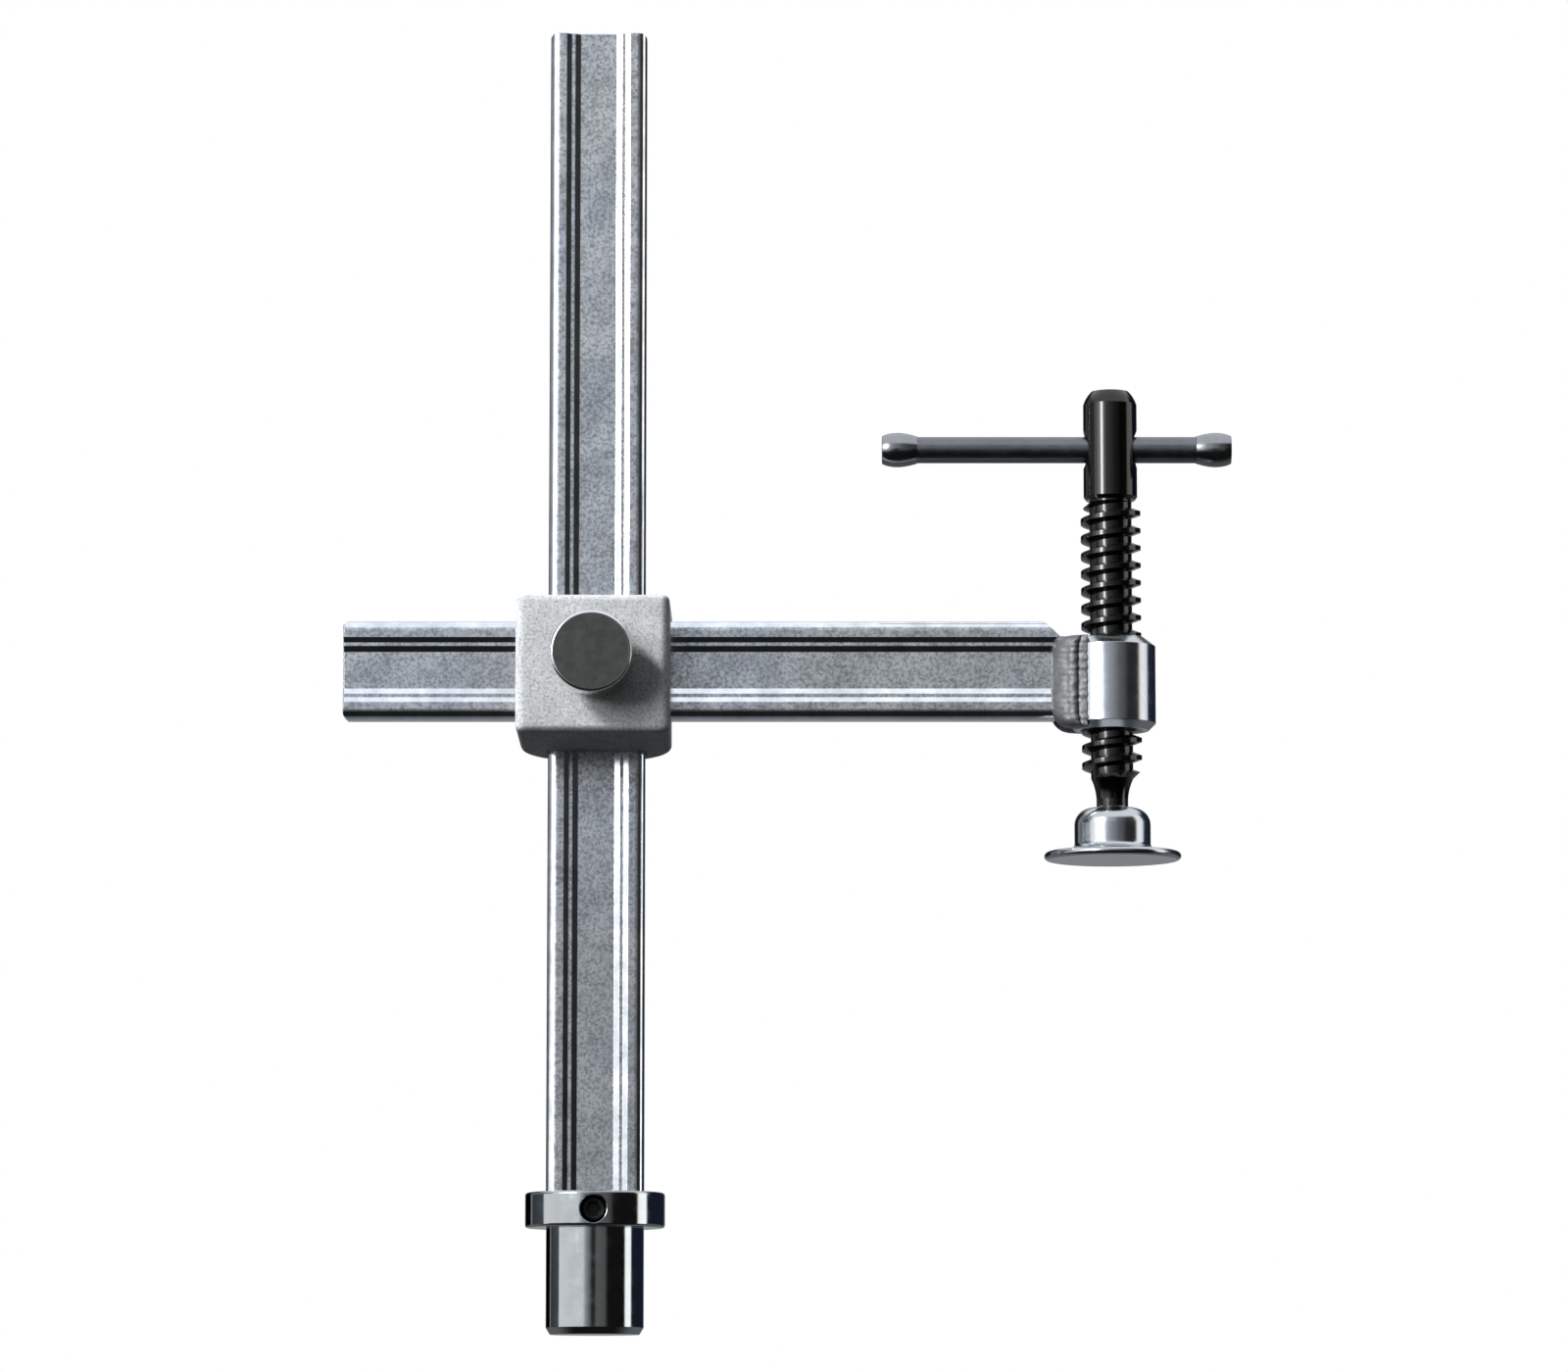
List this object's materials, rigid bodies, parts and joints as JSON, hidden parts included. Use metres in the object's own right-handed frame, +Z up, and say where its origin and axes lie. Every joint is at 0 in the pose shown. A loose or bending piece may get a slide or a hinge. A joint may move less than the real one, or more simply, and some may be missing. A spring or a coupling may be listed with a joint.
{
  "type": "welding table screw clamp",
  "caption": "Variable table clamp: a turned pin carries a vertical rail, a cross slider, a sliding arm and a hand screw with a swivel pressure plate.",
  "frame": {"origin": "on the pin's axis, in the plane of the table top where the shoulder rests", "axes": "+Z up along the pin and the vertical rail, +X from the pin towards the spindle, -Y towards the person turning the spindle"},
  "size_m": [0.2525, 0.0785, 0.3777],
  "materials": {
    "polished_steel": "turned and polished steel",
    "dark_steel": "black oxide",
    "zinc_rail": "zinc plated rolled steel, fine mottled grain",
    "blasted_casting": "bead blasted light grey",
    "knob_steel": "dark satin face, polished rim",
    "brass": "turned",
    "hardened_steel": "ground",
    "bright_zinc": "bright zinc",
    "zinc_weld": "matte zinc over weld",
    "black_oxide": "glossy black oxide",
    "bar_steel": "dark satin steel",
    "bar_end_steel": "polished steel"
  },
  "bodies": {
    "column": {"base_pin": "polished_steel", "base_set_screw": "dark_steel", "vertical_rail": "zinc_rail"},
    "slider": {"cross_slider": "blasted_casting", "clamp_bolt": "hardened_steel"},
    "lock_tip": {"lock_screw_tip": "brass"},
    "lock_knob": {"lock_screw": "knob_steel"},
    "arm": {"arm_rail": "zinc_rail", "spindle_nut": "bright_zinc", "nut_welds": "zinc_weld"},
    "ball_carrier": {"swivel_ball": "hardened_steel"},
    "spindle": {"spindle": "black_oxide", "ball_retaining_ring": "hardened_steel"},
    "tommy_bar": {"tommy_bar_rod": "bar_steel", "bar_end_left": "bar_end_steel", "bar_end_right": "bar_end_steel"},
    "ball_liner": {"ball_liner_upper": "brass", "ball_liner_lower": "brass"},
    "plate": {"pressure_plate": "bright_zinc"}
  },
  "joints": [
    {"name": "slider_travel", "type": "slide", "parent": "column", "child": "slider", "axis": [0, 0, 1], "range_m": [-0.1255, 0.17]},
    {"name": "arm_reach", "type": "slide", "parent": "slider", "child": "arm", "axis": [1, 0, 0], "range_m": [-0.1, 0.049]},
    {"name": "lock_feed", "type": "slide", "parent": "slider", "child": "lock_tip", "axis": [0, -1, 0], "range_m": [-0.00006, 0.003]},
    {"name": "lock_turn", "type": "hinge", "parent": "lock_tip", "child": "lock_knob", "pos_m": [0, -0.0455, 0.1586], "axis": [0, -1, 0], "range_deg": [-15, 721]},
    {"name": "spindle_feed", "type": "slide", "parent": "arm", "child": "ball_carrier", "axis": [0, 0, 1], "range_m": [-0.0376, 0.0201]},
    {"name": "spindle_turn", "type": "hinge", "parent": "ball_carrier", "child": "spindle", "pos_m": [0.147, -0.028, 0.1126], "axis": [0, 0, 1], "range_deg": [-2700, 1440]},
    {"name": "bar_shift", "type": "slide", "parent": "spindle", "child": "tommy_bar", "axis": [1, 0, 0], "range_m": [-0.0165, 0.0471]},
    {"name": "plate_tilt_x", "type": "hinge", "parent": "ball_carrier", "child": "ball_liner", "pos_m": [0.147, -0.028, 0.1126], "axis": [1, 0, 0], "range_deg": [-10, 10]},
    {"name": "plate_tilt_y", "type": "hinge", "parent": "ball_liner", "child": "plate", "pos_m": [0.147, -0.028, 0.1126], "axis": [0, 1, 0], "range_deg": [-10, 10]}
  ],
  "couplings": [
    {"joint": "spindle_feed", "follows": "spindle_turn", "m_per_rad": 0.00079577},
    {"joint": "lock_turn", "follows": "lock_feed", "rad_per_m": 4188.8}
  ]
}
